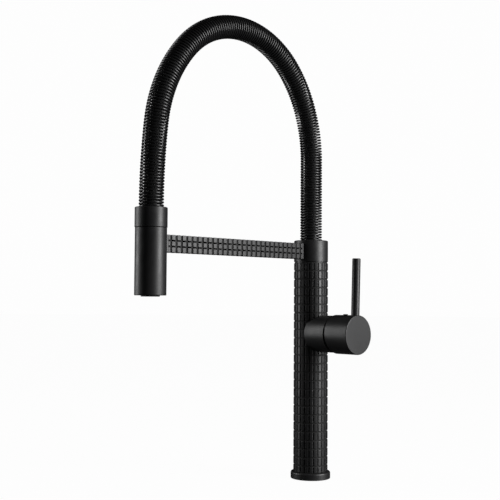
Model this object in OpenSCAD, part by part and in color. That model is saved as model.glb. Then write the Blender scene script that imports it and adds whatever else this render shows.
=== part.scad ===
// Pull down kitchen faucet with a sprung hose arch, in millimetres.
// Origin: centre of the base's underside. +Z up, spout towards -Y, lever towards +X.

/* [Overall] */
// Distance from the column's axis to the spray head's axis
reach = 238; // [200:1:290]
// Height of the studded length of the column
column_h = 243; // [200:1:300]
// Rise of the arch's centreline above the swivel collar
arch_rise = 231; // [190:0.5:300]

/* [Column] */
// Outer diameter of the column and the collar
column_d = 40; // [38:1:50]
// Wall of the column tube
column_wall = 3; // [2.5:0.1:4]
// Height of one row of studs on the column
column_row_h = 9.8; // [7:0.1:14]
// Width of a groove between rows
ring_groove_w = 1.2; // [0.6:0.1:2]
// Depth of a groove between rows
ring_groove_depth = 0.8; // [0.4:0.1:1.2]
// How far the base flange stands out round the column
flange_ledge = 3.1; // [2:0.1:10]
// Thickness of the base flange
flange_h = 8; // [5:0.5:12]
// Diameter of the opening through the base flange
flange_bore_d = 30; // [28:0.5:31]

/* [Inlets] */
// Wall diameter of each threaded water inlet
inlet_thread_d = 9; // [8:0.1:10]
// Wall diameter of the threaded stud hole
stud_thread_d = 6.8; // [6:0.1:8]
// Depth of each threaded hole
thread_depth = 12; // [8:1:16]
// Diameter of the hot and cold tubes
water_tube_d = 8; // [6:0.5:9]
// Wall of every copper tube
water_tube_wall = 1; // [0.5:0.1:1.5]
// Diameter of the mixed water tube
mixed_tube_d = 10; // [8:0.5:11]

/* [Valve] */
// Height of the valve's axis above the deck
valve_h = 168; // [140:1:190]
// Diameter of the cartridge
cartridge_d = 35; // [30:0.5:37]
// Length of the cartridge
cartridge_len = 24; // [22:0.5:30]
// Wall of the cartridge round its turning part
cartridge_wall = 5.52; // [4.5:0.02:7]
// Wall of the valve housing round the cartridge
housing_wall = 3.55; // [3:0.05:7]
// Side of the square stem
stem_side = 8; // [6:0.5:9]
// Largest tilt of the stem when the water is fully on
flow_angle = 20; // [10:1:22]
// How far the handle cap stands proud of the housing
cap_step = 1; // [0.5:0.1:4]
// Wall of the handle cap
cap_wall = 2; // [1.5:0.1:2.5]
// Distance from the column's axis to the flat face of the handle cap
cap_face_x = 73; // [70:1:85]
// Diameter of the lever
lever_d = 9.4; // [8:0.1:12]
// Outward lean of the lever
lever_lean = 1.6; // [0:0.1:4]

/* [Spout] */
// Height of the swivel collar
collar_h = 25; // [22:1:32]
// Diameter of the swivel spigot
spigot_d = 22; // [20:0.5:24]
// Width of the support arm
arm_w = 12; // [10:0.5:14]
// Height of the support arm
arm_h = 18; // [14:1:20]
// Distance between studs along the support arm
arm_pitch = 7.1; // [5:0.1:10]
// Gap between the lever's tip and the support arm
lever_clearance = 0.3; // [0.2:0.1:4]
// Gap between the spout hose and the spring round it
spring_gap = 2.4; // [1.8:0.1:4]
// Diameter of the spring's wire
wire_d = 2.5; // [2:0.1:3]
// Outer diameter of the spout hose
hose_d = 16; // [14:0.5:17]
// Wall of the spout hose
hose_wall = 2.75; // [2:0.05:3.5]

/* [Spray head] */
// How far the head's collar stands proud of the shell
head_ring_step = 0.45; // [0:0.05:2]
// Height of the head's collar
head_ring_h = 20.5; // [18:0.5:30]
// Diameter of the head's shell
head_d = 32.5; // [31:0.1:39]
// Length of the head's shell
head_len = 68.4; // [60:0.1:90]
// Wall of the head's shell
head_wall = 2.5; // [2:0.1:3]
// Height of the shell above the support arm's underside
head_top_over_arm = 24.2; // [22:0.1:30]
// Diameter of the nozzle
nozzle_d = 19.3; // [16:0.1:24]
// How far the nozzle stands out of the shell
nozzle_proud = 1.2; // [0.5:0.1:3]

/* [Hidden] */
$fn = 96;

// Clearances
run_gap = 0.06; // radial, between turning parts
face_gap = 0.05; // between turning faces
seat_gap = 0.02; // radial, between parts that stay together
past = 1; // how far a cut runs past a face
matte_black = "#2b2b2d";
copper = "#b87333";
brass = "#b5a642";
steel = "#b8babd";
rubber = "#1b1b1b";
grey_plastic = "#6d7073";

// Column
col_r = column_d / 2;
col_bore_r = col_r - column_wall;
flange_r = col_r + flange_ledge;
col_top = flange_h + column_h;
column_rows = ceil(column_h / column_row_h);
least_row = 1;
flange_bore_r = flange_bore_d / 2;
locating_h = 5;
locating_r = col_bore_r - seat_gap;
gasket_depth = 2;
gasket_in_r = flange_bore_r + 3;
gasket_out_r = flange_r - 1.6;

// Inlets
inlet_x = -3;
inlet_y = 8;
stud_x = 7.5;
block_z0 = flange_h + locating_h;
socket_depth = 8;
channel_r = 3;
block_h = thread_depth + 4 + socket_depth;
tube_r = water_tube_d / 2;
mixed_r = mixed_tube_d / 2;

// Valve
seat_x = 10;
cart_r = cartridge_d / 2;
pocket_r = cart_r + 0.2;
housing_r = pocket_r + housing_wall;
core_half = housing_r + 1;
housing_x0 = 9;
cart_x1 = seat_x + cartridge_len;
nut_h = 4;
nut_bore_r = cart_r - 4.5;
housing_x1 = cart_x1 + nut_h + 0.5;
cart_base = 6;
port_y = inlet_y;
port_z = -4;
mixed_port_z = 9;
port_r = 2.5;
seal_r = port_r + 1.2;
seal_depth = 1.5;
seal_places = [[port_y, port_z], [-port_y, port_z], [0, mixed_port_z]];
rotor_r = cart_r - cartridge_wall - run_gap;
rotor_x0 = seat_x + cart_base + face_gap;
rotor_x1 = cart_x1 - 1;
pivot_x = seat_x + 17;
pin_r = 1.5;
stem_x0 = pivot_x - 7;
stem_half = stem_side / 2;
stem_play = 0.3;
cap_r = housing_r + cap_step;
cap_in_r = cap_r - cap_wall;
cap_back_x = housing_x1 + 0.6;
cap_slant = atan2(3.2, 2 * cap_r);
hub_x0 = housing_x1 + 6.5;
hub_r = 9.5;
stem_x1 = hub_x0 + 12;
screw_x = stem_x1 - 3.3;
screw_r = 2.5;
screw_len = 8;
plug_r = 2.75;
plug_proud = 1;
lever_r = lever_d / 2;
lever_x = cap_face_x - 5.5;
lever_foot = 8;
lever_round = 1.2;

// Swivel
ring_h = 1;
collar_z0 = col_top + ring_h;
collar_top = collar_z0 + collar_h;
spigot_r = spigot_d / 2;
spigot_h = 14;
spigot_top = collar_z0 + spigot_h;
plug_depth = 14;
swivel_bore_r = spigot_r + run_gap;
web_z0 = spigot_top + face_gap;
spring_seat_depth = 7;
spring_seat_z = collar_top - spring_seat_depth;
oring_wire = 1.8;
oring_z = [collar_z0 + 3.2, collar_z0 + 6.8];
screw_groove_z = collar_z0 + 11.3;
screw_groove_w = 3.4;
grub_r = 2;

// Spring and hose
hose_r = hose_d / 2;
hose_in_r = hose_r - hose_wall;
spring_in_r = hose_r + spring_gap;
spring_r = spring_in_r + wire_d;
ferrule_wall = 1.1;
ferrule_h = 14;
nipple_h = 15;
water_r = 3.5;

// Support arm
arm_z0 = collar_z0 + 2.8;
arm_z = arm_z0 + arm_h / 2;
arm_groove_w = 1.6;
arm_groove_depth = 0.8;
arm_plain = 4.5; // shortest stretch without grooves at each end
// Height of the lever's tip above the valve's axis
lever_tip = arm_z0 - lever_clearance - valve_h - lever_r * sin(lever_lean);
bolt_z = collar_z0 + 8;
bolt_r = 2.5;
bolt_head_r = 4.5;
bolt_head_h = 2.7;
bolt_grip = 13; // length of the bolt in the arm

// Spray head
head_r = head_d / 2;
head_ring_r = head_r + head_ring_step;
head_in_r = head_r - head_wall;
head_top = arm_z0 + head_top_over_arm;
head_bottom = head_top - head_len;
head_ring_z0 = head_top + 0.3;
head_ring_top = head_ring_z0 + head_ring_h;
dock_gap = 0.3;
arm_end_y = -reach + head_r + dock_gap;
arm_len = -col_r - arm_end_y;
arm_grooves = floor((arm_len - 2 * arm_plain) / arm_pitch);
arm_first_y = arm_end_y + (arm_len - arm_grooves * arm_pitch) / 2;
magnet_r = 4.5;
magnet_h = 4;
insert_r = 4.8;
insert_h = 1;
insert_inset = 1.4;
union_step = 1;
union_r = hose_r + union_step;
union_shoulder_z = head_ring_z0 + 6.5;
union_z0 = head_top - 17.2;
lip_z0 = head_top - 15.2;
clip_h = 1.2;
clip_groove_r = union_r - 0.8;
clip_r = union_r + 1.6;
union_bore_r = 4;
union_oring_z = head_top - 6;
core_z1 = lip_z0 - 4;
check_r = 7;
check_h = 10;
check_z0 = core_z1 - 12;
nozzle_h = 11.5;
nozzle_recess = 0.4;
aerator_r = 8;
aerator_h = 4;

// Arch: a crown, a shoulder and a haunch on each side, all tangent, then a straight leg
crown_y = 0.487 * reach;
crown_z = collar_top + arch_rise;
crown_r = 0.442 * reach;
crown_half = 47;
column_shoulder_r = 0.581 * reach;
column_haunch_r = 0.68 * reach;
head_shoulder_r = 0.644 * reach;

// Fall of the centreline from the crown to where a shoulder that ends at angle a would have its centre
function shoulder_fall(shoulder) = crown_r * (1 - cos(crown_half)) + shoulder * cos(crown_half);
function shoulder_run(shoulder) = (crown_r - shoulder) * sin(crown_half);

// On the column's side the haunch has its own radius, and its leg takes up the rest of the height
column_haunch_a = asin((shoulder_run(column_shoulder_r) + column_haunch_r - crown_y)
    / (column_haunch_r - column_shoulder_r));
column_spring_z = crown_z - shoulder_fall(column_shoulder_r)
    - (column_haunch_r - column_shoulder_r) * cos(column_haunch_a);

// On the head's side the haunch comes down to the head's collar, and its radius follows
head_straight = 1;
head_spring_z = max(head_ring_top, union_shoulder_z + nipple_h) + head_straight;
head_side = reach - crown_y - shoulder_run(head_shoulder_r) - head_shoulder_r;
head_drop = crown_z - head_spring_z - shoulder_fall(head_shoulder_r);
head_haunch_a = 90 - 2 * atan2(head_side, head_drop);
head_haunch_r = head_shoulder_r + head_drop / cos(head_haunch_a);

// Each bend's centre lies on the line from its neighbour's centre to where they meet
function towards(a) = [sin(a), -cos(a)];
crown_c = [crown_y, crown_z - crown_r];
column_shoulder_c = crown_c + (column_shoulder_r - crown_r) * towards(crown_half);
column_haunch_c = column_shoulder_c + (column_haunch_r - column_shoulder_r) * towards(column_haunch_a);
head_shoulder_c = crown_c + (head_shoulder_r - crown_r) * towards(-crown_half);
head_haunch_c = head_shoulder_c + (head_haunch_r - head_shoulder_r) * towards(-head_haunch_a);
arch_bends = [
    [column_haunch_c, column_haunch_r, -90, -column_haunch_a],
    [column_shoulder_c, column_shoulder_r, -column_haunch_a, -crown_half],
    [crown_c, crown_r, -crown_half, crown_half],
    [head_shoulder_c, head_shoulder_r, crown_half, head_haunch_a],
    [head_haunch_c, head_haunch_r, head_haunch_a, 90]
];
stretch_gap = 0.2;
band_lip = 0.04;

// ---- Shared shapes ----

module rod(r, z0, z1) translate([0, 0, z0]) cylinder(r = r, h = z1 - z0);

module ring(r_out, r_in, z0, z1) difference() {
    rod(r_out, z0, z1);
    rod(r_in, z0 - past, z1 + past);
}

// A cylinder along +X on the valve's axis
module rod_x(r, x0, x1, y = 0, z = 0)
    translate([x0, y, valve_h + z]) rotate([0, 90, 0]) cylinder(r = r, h = x1 - x0);

module at_head() translate([0, -reach, 0]) children();

// A tube bent in the plane of the arch. bend is [centre, radius, first angle, last angle]:
// the centre is [distance from the column, height], and angles run from the vertical.
module bent(r_out, r_in, bend) {
    trim = stretch_gap / bend[1] * 180 / PI;
    translate([0, -bend[0][0], bend[0][1]]) rotate([0, -90, 0]) rotate([0, 0, trim - bend[3]])
        rotate_extrude(angle = bend[3] - bend[2] - 2 * trim)
            translate([bend[1], 0]) difference() {
                circle(r = r_out);
                circle(r = r_in);
            }
}

// A short sleeve over the place where one stretch of the arch meets the next
module band(r_out, r_in, c, bend_r, a)
    translate([0, -c[0] - bend_r * sin(a), c[1] + bend_r * cos(a)]) rotate([90 + a, 0, 0])
        ring(r_out + band_lip, r_in - band_lip, -3 * stretch_gap, 3 * stretch_gap);

module arch(r_out, r_in, z0, z1) {
    ring(r_out, r_in, z0, column_spring_z - stretch_gap);
    at_head() ring(r_out, r_in, z1, head_spring_z - stretch_gap);
    for (bend = arch_bends) {
        bent(r_out, r_in, bend);
        band(r_out, r_in, bend[0], bend[1], bend[2]);
    }
    last = arch_bends[len(arch_bends) - 1];
    band(r_out, r_in, last[0], last[1], last[3]);
}

// ---- Base ----

module base_flange() color(matte_black) difference() {
    rotate_extrude() {
        edge = 1.5;
        translate([flange_bore_r, 0]) square([flange_r - flange_bore_r, flange_h - edge]);
        translate([flange_bore_r, 0]) square([flange_r - flange_bore_r - edge, flange_h]);
        translate([flange_r - edge, flange_h - edge]) circle(r = edge);
        translate([flange_bore_r, 0]) square([locating_r - flange_bore_r, block_z0]);
    }
    ring(gasket_out_r, gasket_in_r, -past, gasket_depth);
}

module deck_gasket() color(rubber)
    ring(gasket_out_r - seat_gap, gasket_in_r + seat_gap, 0, gasket_depth);

module column_tube() color(matte_black) difference() {
    groove_r = col_r - ring_groove_depth;
    union() {
        rod(groove_r, flange_h, col_top);
        // Rows are counted down from the top, and the flange cuts the last one short
        for (i = [0:column_rows - 1]) {
            row_top = col_top - i * column_row_h - ring_groove_w / 2;
            row_low = max(row_top - column_row_h + ring_groove_w, flange_h + 0.4);
            if (row_top - row_low > least_row) rod(col_r, row_low, row_top);
        }
    }
    rod(col_bore_r, flange_h - past, col_top + past);
    rod_x(pocket_r, seat_x - 0.1, col_r + past);
}

module inlet_block() color(brass) {
    z1 = block_z0 + block_h;
    difference() {
        rod(locating_r, block_z0, z1);
        for (s = [-1, 1]) translate([inlet_x, s * inlet_y, 0]) {
            rod(inlet_thread_d / 2, block_z0 - past, block_z0 + thread_depth);
            rod(channel_r, block_z0, z1);
            rod(tube_r + seat_gap, z1 - socket_depth, z1 + past);
        }
        translate([stud_x, 0, 0]) rod(stud_thread_d / 2, block_z0 - past, block_z0 + thread_depth);
    }
}

module inlet_tube(side) color(copper)
    translate([inlet_x, side * inlet_y, 0])
        ring(tube_r, tube_r - water_tube_wall,
            block_z0 + block_h - socket_depth, valve_h - core_half + socket_depth);

module hot_inlet_tube() inlet_tube(1);

module cold_inlet_tube() inlet_tube(-1);

module mixed_water_tube() color(copper)
    translate([inlet_x, 0, 0])
        ring(mixed_r, mixed_r - water_tube_wall,
            valve_h + core_half - socket_depth, col_top - plug_depth + socket_depth);

module valve_core() color(brass) difference() {
    rod(locating_r, valve_h - core_half, valve_h + core_half);
    translate([seat_x, -col_r, valve_h - core_half - past])
        cube([col_r, column_d, 2 * (core_half + past)]);
    for (s = [-1, 1]) {
        translate([inlet_x, s * inlet_y, 0]) {
            rod(tube_r + seat_gap, valve_h - core_half - past, valve_h - core_half + socket_depth);
            rod(port_r, valve_h - core_half, valve_h + port_z);
        }
        rod_x(port_r, inlet_x, seat_x + past, s * port_y, port_z);
    }
    translate([inlet_x, 0, 0]) {
        rod(mixed_r + seat_gap, valve_h + core_half - socket_depth, valve_h + core_half + past);
        rod(water_r, valve_h + mixed_port_z, valve_h + core_half);
    }
    rod_x(port_r, inlet_x, seat_x + past, 0, mixed_port_z);
    for (p = seal_places) rod_x(seal_r, seat_x - seal_depth, seat_x + past, p[0], p[1]);
}

module valve_seat_seals() color(rubber) for (p = seal_places) difference() {
    rod_x(seal_r - seat_gap, seat_x - seal_depth, seat_x, p[0], p[1]);
    rod_x(port_r, seat_x - seal_depth - past, seat_x + past, p[0], p[1]);
}

module valve_housing() color(matte_black) difference() {
    rod_x(housing_r, housing_x0, housing_x1);
    rod_x(pocket_r, housing_x0 - past, housing_x1 + past);
    rod(col_r + seat_gap, valve_h - housing_r - past, valve_h + housing_r + past);
}

module cartridge_body() color(grey_plastic) difference() {
    rod_x(cart_r, seat_x, cart_x1);
    rod_x(rotor_r + run_gap, seat_x + cart_base, cart_x1 + past);
    for (p = seal_places) rod_x(port_r, seat_x - past, seat_x + cart_base + past, p[0], p[1]);
}

module cartridge_nut() color(brass) difference() {
    rod_x(pocket_r - seat_gap, cart_x1, cart_x1 + nut_h);
    rod_x(nut_bore_r, cart_x1 - past, cart_x1 + nut_h + past);
}

module swivel_spigot() color(brass) {
    plug_z = col_top - plug_depth;
    difference() {
        union() {
            rod(locating_r, plug_z, col_top);
            rod(spigot_r, col_top, spigot_top);
        }
        translate([inlet_x, 0, 0]) {
            rod(mixed_r + seat_gap, plug_z - past, plug_z + socket_depth);
            rod(water_r, plug_z, plug_z + socket_depth + 2);
        }
        rod(water_r, plug_z + socket_depth, spigot_top + past);
        for (z = oring_z)
            ring(spigot_r + past, spigot_r - oring_wire, z - oring_wire / 2 - 0.3, z + oring_wire / 2 + 0.3);
        ring(spigot_r + past, spigot_r - 1, screw_groove_z - screw_groove_w / 2,
            screw_groove_z + screw_groove_w / 2);
    }
}

module swivel_orings() color(rubber) for (z = oring_z)
    translate([0, 0, z]) rotate_extrude()
        translate([spigot_r - oring_wire / 2, 0]) circle(r = oring_wire / 2);

module glide_ring() color(rubber)
    ring(col_r - ring_groove_depth, spigot_r + 0.5, col_top, collar_z0 - face_gap);

// ---- Mixer ----

module cartridge_rotor() color("gainsboro") difference() {
    rod_x(rotor_r, rotor_x0, rotor_x1);
    // Slot that the stem tilts in: its level outline and its tilted one, in the plane of the tilt
    h = stem_half + stem_play;
    back = pivot_x - stem_x0 + stem_play;
    knee = h * tan(flow_angle / 2);
    mouth = rotor_x1 - pivot_x + past;
    translate([pivot_x, 0, valve_h]) rotate([90, 0, 0])
        linear_extrude(height = stem_side + 2 * run_gap, center = true) polygon([
            [-norm([back, h]), -h], [-knee, -h], [mouth, -h - (mouth + knee) * tan(flow_angle)],
            [mouth, h], [knee, h],
            [h * sin(flow_angle) - back * cos(flow_angle), h * cos(flow_angle) + back * sin(flow_angle)],
            [-norm([back, h]), h * cos(flow_angle) + back * sin(flow_angle)]
        ]);
    pin_bore(pin_r + seat_gap);
}

module pin_bore(r)
    translate([pivot_x, 0, valve_h]) rotate([90, 0, 0]) cylinder(r = r, h = 2 * rotor_r + past, center = true);

module pivot_pin() color(steel)
    translate([pivot_x, 0, valve_h]) rotate([90, 0, 0]) cylinder(r = pin_r, h = 2 * rotor_r - 1, center = true);

// ---- Handle ----

module cartridge_stem() color(steel) difference() {
    translate([stem_x0, -stem_half, valve_h - stem_half]) cube([stem_x1 - stem_x0, stem_side, stem_side]);
    pin_bore(pin_r + run_gap);
}

// The lever's own frame: +Z along the lever, origin on the valve's axis
module on_lever() translate([lever_x, 0, valve_h]) rotate([0, lever_lean, 0]) children();

module handle_cap() color(matte_black) difference() {
    union() {
        difference() {
            rod_x(cap_r, cap_back_x - past, cap_face_x);
            rod_x(cap_in_r, cap_back_x - 2 * past, cap_face_x - cap_wall);
        }
        rod_x(hub_r, hub_x0, cap_face_x - cap_wall / 2);
        rib_x = screw_x - screw_r - 3;
        translate([rib_x, -lever_r - 2, valve_h])
            cube([cap_face_x - rib_x - cap_wall / 2, lever_d + 4, cap_in_r]);
    }
    // Slanted back edge, nearest the housing at the top
    translate([cap_back_x, 0, valve_h + cap_r]) rotate([0, -cap_slant, 0])
        translate([-2 * cap_r, -2 * cap_r, -4 * cap_r]) cube([2 * cap_r, 4 * cap_r, 6 * cap_r]);
    translate([hub_x0 - past, -stem_half - seat_gap, valve_h - stem_half - seat_gap])
        cube([stem_x1 - hub_x0 + past, stem_side + 2 * seat_gap, stem_side + 2 * seat_gap]);
    translate([screw_x, 0, valve_h]) {
        rod(screw_r + seat_gap, 0, cap_r + past);
        rod(plug_r + seat_gap, stem_half + screw_len + 3, cap_r + past);
    }
    on_lever() rod(lever_r + seat_gap, lever_foot, cap_r + past);
}

module lever_rod() color(matte_black) on_lever() rotate_extrude() {
    square_top = lever_tip / cos(lever_lean) - lever_round;
    translate([0, lever_foot]) square([lever_r, square_top - lever_foot]);
    translate([0, square_top]) square([lever_r - lever_round, lever_round]);
    intersection() {
        translate([lever_r - lever_round, square_top]) circle(r = lever_round);
        translate([0, square_top]) square([lever_r, lever_round]);
    }
}

module handle_set_screw() color(steel) translate([screw_x, 0, valve_h + stem_half]) difference() {
    rod(screw_r, seat_gap, screw_len);
    translate([0, 0, screw_len - 3]) cylinder(d = 2.9, h = 3 + past, $fn = 6);
}

module indicator_plug() color(grey_plastic) translate([screw_x, 0, valve_h])
    rod(plug_r, stem_half + screw_len + 3, cap_r + plug_proud);

// ---- Spout ----

module swivel_collar() color(matte_black) difference() {
    rotate_extrude() {
        edge = 1;
        translate([0, collar_z0]) square([col_r, collar_h - edge]);
        translate([0, collar_z0]) square([col_r - edge, collar_h]);
        translate([col_r - edge, collar_top - edge]) circle(r = edge);
    }
    rod(swivel_bore_r, collar_z0 - past, web_z0);
    rod(water_r + seat_gap, web_z0 - past, spring_seat_z + past);
    rod(spring_r + seat_gap, spring_seat_z, collar_top + past);
    arm_bolt_hole();
    translate([0, 0, screw_groove_z]) rotate([-90, 0, 0]) rod(grub_r + seat_gap, 0, col_r + past);
}

module collar_set_screw() color(steel) translate([0, 0, screw_groove_z]) rotate([-90, 0, 0])
    difference() {
        union() {
            rod(grub_r - 0.6, spigot_r - 0.9, spigot_r + 1);
            rod(grub_r, spigot_r + 0.5, col_r - 0.5);
        }
        translate([0, 0, col_r - 2.5]) cylinder(d = 2.3, h = 2 + past, $fn = 6);
    }

// Counterbored hole for the bolt that holds the arm, from inside the collar
module arm_bolt_hole() translate([0, 0, bolt_z]) rotate([90, 0, 0]) {
    rod(bolt_head_r + 0.2, 0, swivel_bore_r + bolt_head_h + 0.5);
    rod(bolt_r + seat_gap, 0, col_r + past);
}

module support_arm() color(matte_black) difference() {
    half_w = arm_w / 2;
    translate([-half_w, arm_end_y - 2, arm_z0]) cube([arm_w, 2 - arm_end_y - col_r / 2, arm_h]);
    // Saddles that sit against the collar and around the head
    rod(col_r + seat_gap, arm_z0 - past, arm_z0 + arm_h + past);
    at_head() rod(head_r + dock_gap, arm_z0 - past, arm_z0 + arm_h + past);
    // Cross grooves between the studs
    for (i = [0:arm_grooves]) translate([0, arm_first_y + i * arm_pitch - arm_groove_w / 2, 0]) {
        for (s = [-1, 1])
            translate([s * half_w - arm_groove_depth, 0, arm_z0 - past])
                cube([2 * arm_groove_depth, arm_groove_w, arm_h + 2 * past]);
        for (z = [arm_z0, arm_z0 + arm_h])
            translate([-half_w - past, 0, z - arm_groove_depth])
                cube([arm_w + 2 * past, arm_groove_w, 2 * arm_groove_depth]);
    }
    translate([0, -col_r + past, bolt_z]) rotate([90, 0, 0])
        cylinder(r = bolt_r + seat_gap, h = past + bolt_grip + 2);
    magnet_seat(magnet_r + seat_gap);
}

// A disc along the arm, from inside its end out past the saddle
module magnet_seat(r)
    translate([0, arm_end_y + magnet_h, arm_z]) rotate([90, 0, 0]) cylinder(r = r, h = magnet_h + 3);

module arm_bolt() color(steel) translate([0, 0, bolt_z]) rotate([90, 0, 0]) difference() {
    head_at = swivel_bore_r + 0.5;
    union() {
        rod(bolt_head_r, head_at, swivel_bore_r + bolt_head_h + 0.5);
        rod(bolt_r, head_at, col_r + bolt_grip);
    }
    translate([0, 0, head_at - past]) cylinder(d = 3, h = past + 1.8, $fn = 6);
}

module dock_magnet() color(steel) difference() {
    magnet_seat(magnet_r);
    at_head() rod(head_r + dock_gap, arm_z0, arm_z0 + arm_h);
}

module hose_nipple() color(brass) difference() {
    union() {
        rod(water_r, web_z0 + 0.5, spring_seat_z + past);
        rod(hose_in_r - seat_gap, spring_seat_z, spring_seat_z + nipple_h);
    }
    rod(water_r - 1, web_z0, spring_seat_z + nipple_h + past);
}

module ferrule(z0) color(steel)
    ring(hose_r + ferrule_wall + seat_gap, hose_r + seat_gap, z0, z0 + ferrule_h);

module lower_ferrule() ferrule(spring_seat_z);

module spout_hose() color(rubber) arch(hose_r, hose_in_r, spring_seat_z, union_shoulder_z);

// The outer form of the coil, at the wire's thickness
module spring() color(matte_black)
    arch(spring_r, spring_in_r, spring_seat_z, head_ring_top - spring_seat_depth);

// ---- Hose end ----

module head_ring() color(matte_black) at_head() difference() {
    rotate_extrude() {
        edge = 0.8;
        translate([0, head_ring_z0]) square([head_ring_r, head_ring_h - edge]);
        translate([0, head_ring_z0]) square([head_ring_r - edge, head_ring_h]);
        translate([head_ring_r - edge, head_ring_top - edge]) circle(r = edge);
    }
    rod(union_r + seat_gap, head_ring_z0 - past, head_ring_top);
    rod(hose_r + ferrule_wall + 0.3, union_shoulder_z, head_ring_top);
    rod(spring_r + seat_gap, head_ring_top - spring_seat_depth, head_ring_top + past);
}

module hose_union() color(brass) at_head() difference() {
    union() {
        rod(union_r, union_z0, union_shoulder_z);
        rod(hose_in_r - seat_gap, union_shoulder_z, union_shoulder_z + nipple_h);
    }
    rod(union_bore_r, union_z0 - past, union_shoulder_z + nipple_h + past);
    ring(union_r + past, union_r - oring_wire, union_oring_z - oring_wire / 2 - 0.3,
        union_oring_z + oring_wire / 2 + 0.3);
    ring(union_r + past, clip_groove_r, union_z0 + 0.5, union_z0 + 0.5 + clip_h);
}

module head_ferrule() at_head() ferrule(union_shoulder_z);

module union_oring() color(rubber) at_head() translate([0, 0, union_oring_z]) rotate_extrude()
    translate([union_r - oring_wire / 2, 0]) circle(r = oring_wire / 2);

// Open ring that keeps the head on the union
module union_clip() color(steel) at_head() difference() {
    ring(clip_r, clip_groove_r + seat_gap, union_z0 + 0.5 + face_gap, union_z0 + 0.5 + clip_h - face_gap);
    translate([0, -2, union_z0]) cube([clip_r + past, 4, clip_h + past]);
}

// ---- Spray head ----

module head_shell() color(matte_black) at_head() difference() {
    rotate_extrude() {
        edge = 0.6;
        translate([0, head_bottom + edge]) square([head_r, head_len - edge]);
        translate([0, head_bottom]) square([head_r - edge, head_len]);
        translate([head_r - edge, head_bottom + edge]) circle(r = edge);
    }
    rod(head_in_r, head_bottom - past, lip_z0);
    rod(union_r + run_gap, lip_z0 - past, head_top + past);
    insert_seat(insert_r + seat_gap, insert_h + seat_gap);
}

// A disc in the inside of the shell's wall, behind the magnet
module insert_seat(r, h)
    translate([0, head_in_r - insert_inset, arm_z]) rotate([-90, 0, 0]) cylinder(r = r, h = h + 0.4);

module dock_steel_insert() color(steel) at_head() difference() {
    insert_seat(insert_r, insert_h);
    rod(head_in_r - 0.6, arm_z0 - head_d, arm_z0 + head_d);
}

module head_core() color(grey_plastic) at_head() {
    nozzle_top = head_bottom + nozzle_recess + nozzle_h;
    shelf_h = 2;
    difference() {
        rod(head_in_r - 0.7, nozzle_top, core_z1);
        rod(check_r, nozzle_top - past, check_z0 - shelf_h);
        rod(check_r + seat_gap, check_z0, core_z1 + past);
        rod(water_r, nozzle_top, core_z1);
    }
}

module check_valve() color("ivory") at_head() difference() {
    port_h = 5;
    rod(check_r, check_z0, check_z0 + check_h);
    rod(water_r, check_z0 - past, check_z0 + check_h - port_h + past);
    for (a = [0:90:270]) rotate(a) translate([water_r, 0, 0])
        rod(1.2, check_z0 + check_h - port_h, check_z0 + check_h + past);
}

module nozzle_ring() color(rubber) at_head() difference() {
    union() {
        rod(head_in_r - seat_gap, head_bottom + nozzle_recess, head_bottom + nozzle_recess + nozzle_h);
        rod(nozzle_d / 2, head_bottom - nozzle_proud, head_bottom + nozzle_recess + past);
    }
    rod(aerator_r + seat_gap, head_bottom - nozzle_proud - past, head_bottom + nozzle_proud + aerator_h);
    rod(aerator_r - 1, head_bottom, head_bottom + nozzle_h + past);
}

module aerator_insert() color(steel) at_head() {
    z0 = head_bottom - nozzle_proud + 0.8;
    difference() {
        rod(aerator_r, z0, z0 + aerator_h);
        for (i = [1:6]) rotate(i * 60) translate([4.4, 0, 0]) rod(1.1, z0 - past, z0 + aerator_h + past);
        rod(1.1, z0 - past, z0 + aerator_h + past);
    }
}

module aerator_gasket() color(rubber) at_head() {
    z0 = head_bottom - nozzle_proud + 0.8 + aerator_h;
    ring(aerator_r, aerator_r - 1.6, z0, head_bottom + nozzle_proud + aerator_h);
}

base_flange();
deck_gasket();
column_tube();
inlet_block();
hot_inlet_tube();
cold_inlet_tube();
mixed_water_tube();
valve_core();
valve_seat_seals();
valve_housing();
cartridge_body();
cartridge_nut();
swivel_spigot();
swivel_orings();
glide_ring();
cartridge_rotor();
pivot_pin();
cartridge_stem();
handle_cap();
lever_rod();
handle_set_screw();
indicator_plug();
swivel_collar();
collar_set_screw();
support_arm();
arm_bolt();
dock_magnet();
hose_nipple();
lower_ferrule();
spout_hose();
spring();
head_ring();
hose_union();
head_ferrule();
union_oring();
union_clip();
head_shell();
dock_steel_insert();
head_core();
check_valve();
nozzle_ring();
aerator_insert();
aerator_gasket();
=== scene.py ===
"""Looks of a pull down kitchen faucet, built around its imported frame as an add-on."""

import math

import bmesh
import bpy
import numpy as np
from bpy.props import FloatProperty, FloatVectorProperty, IntProperty, PointerProperty
from mathutils import Matrix, Vector


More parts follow.
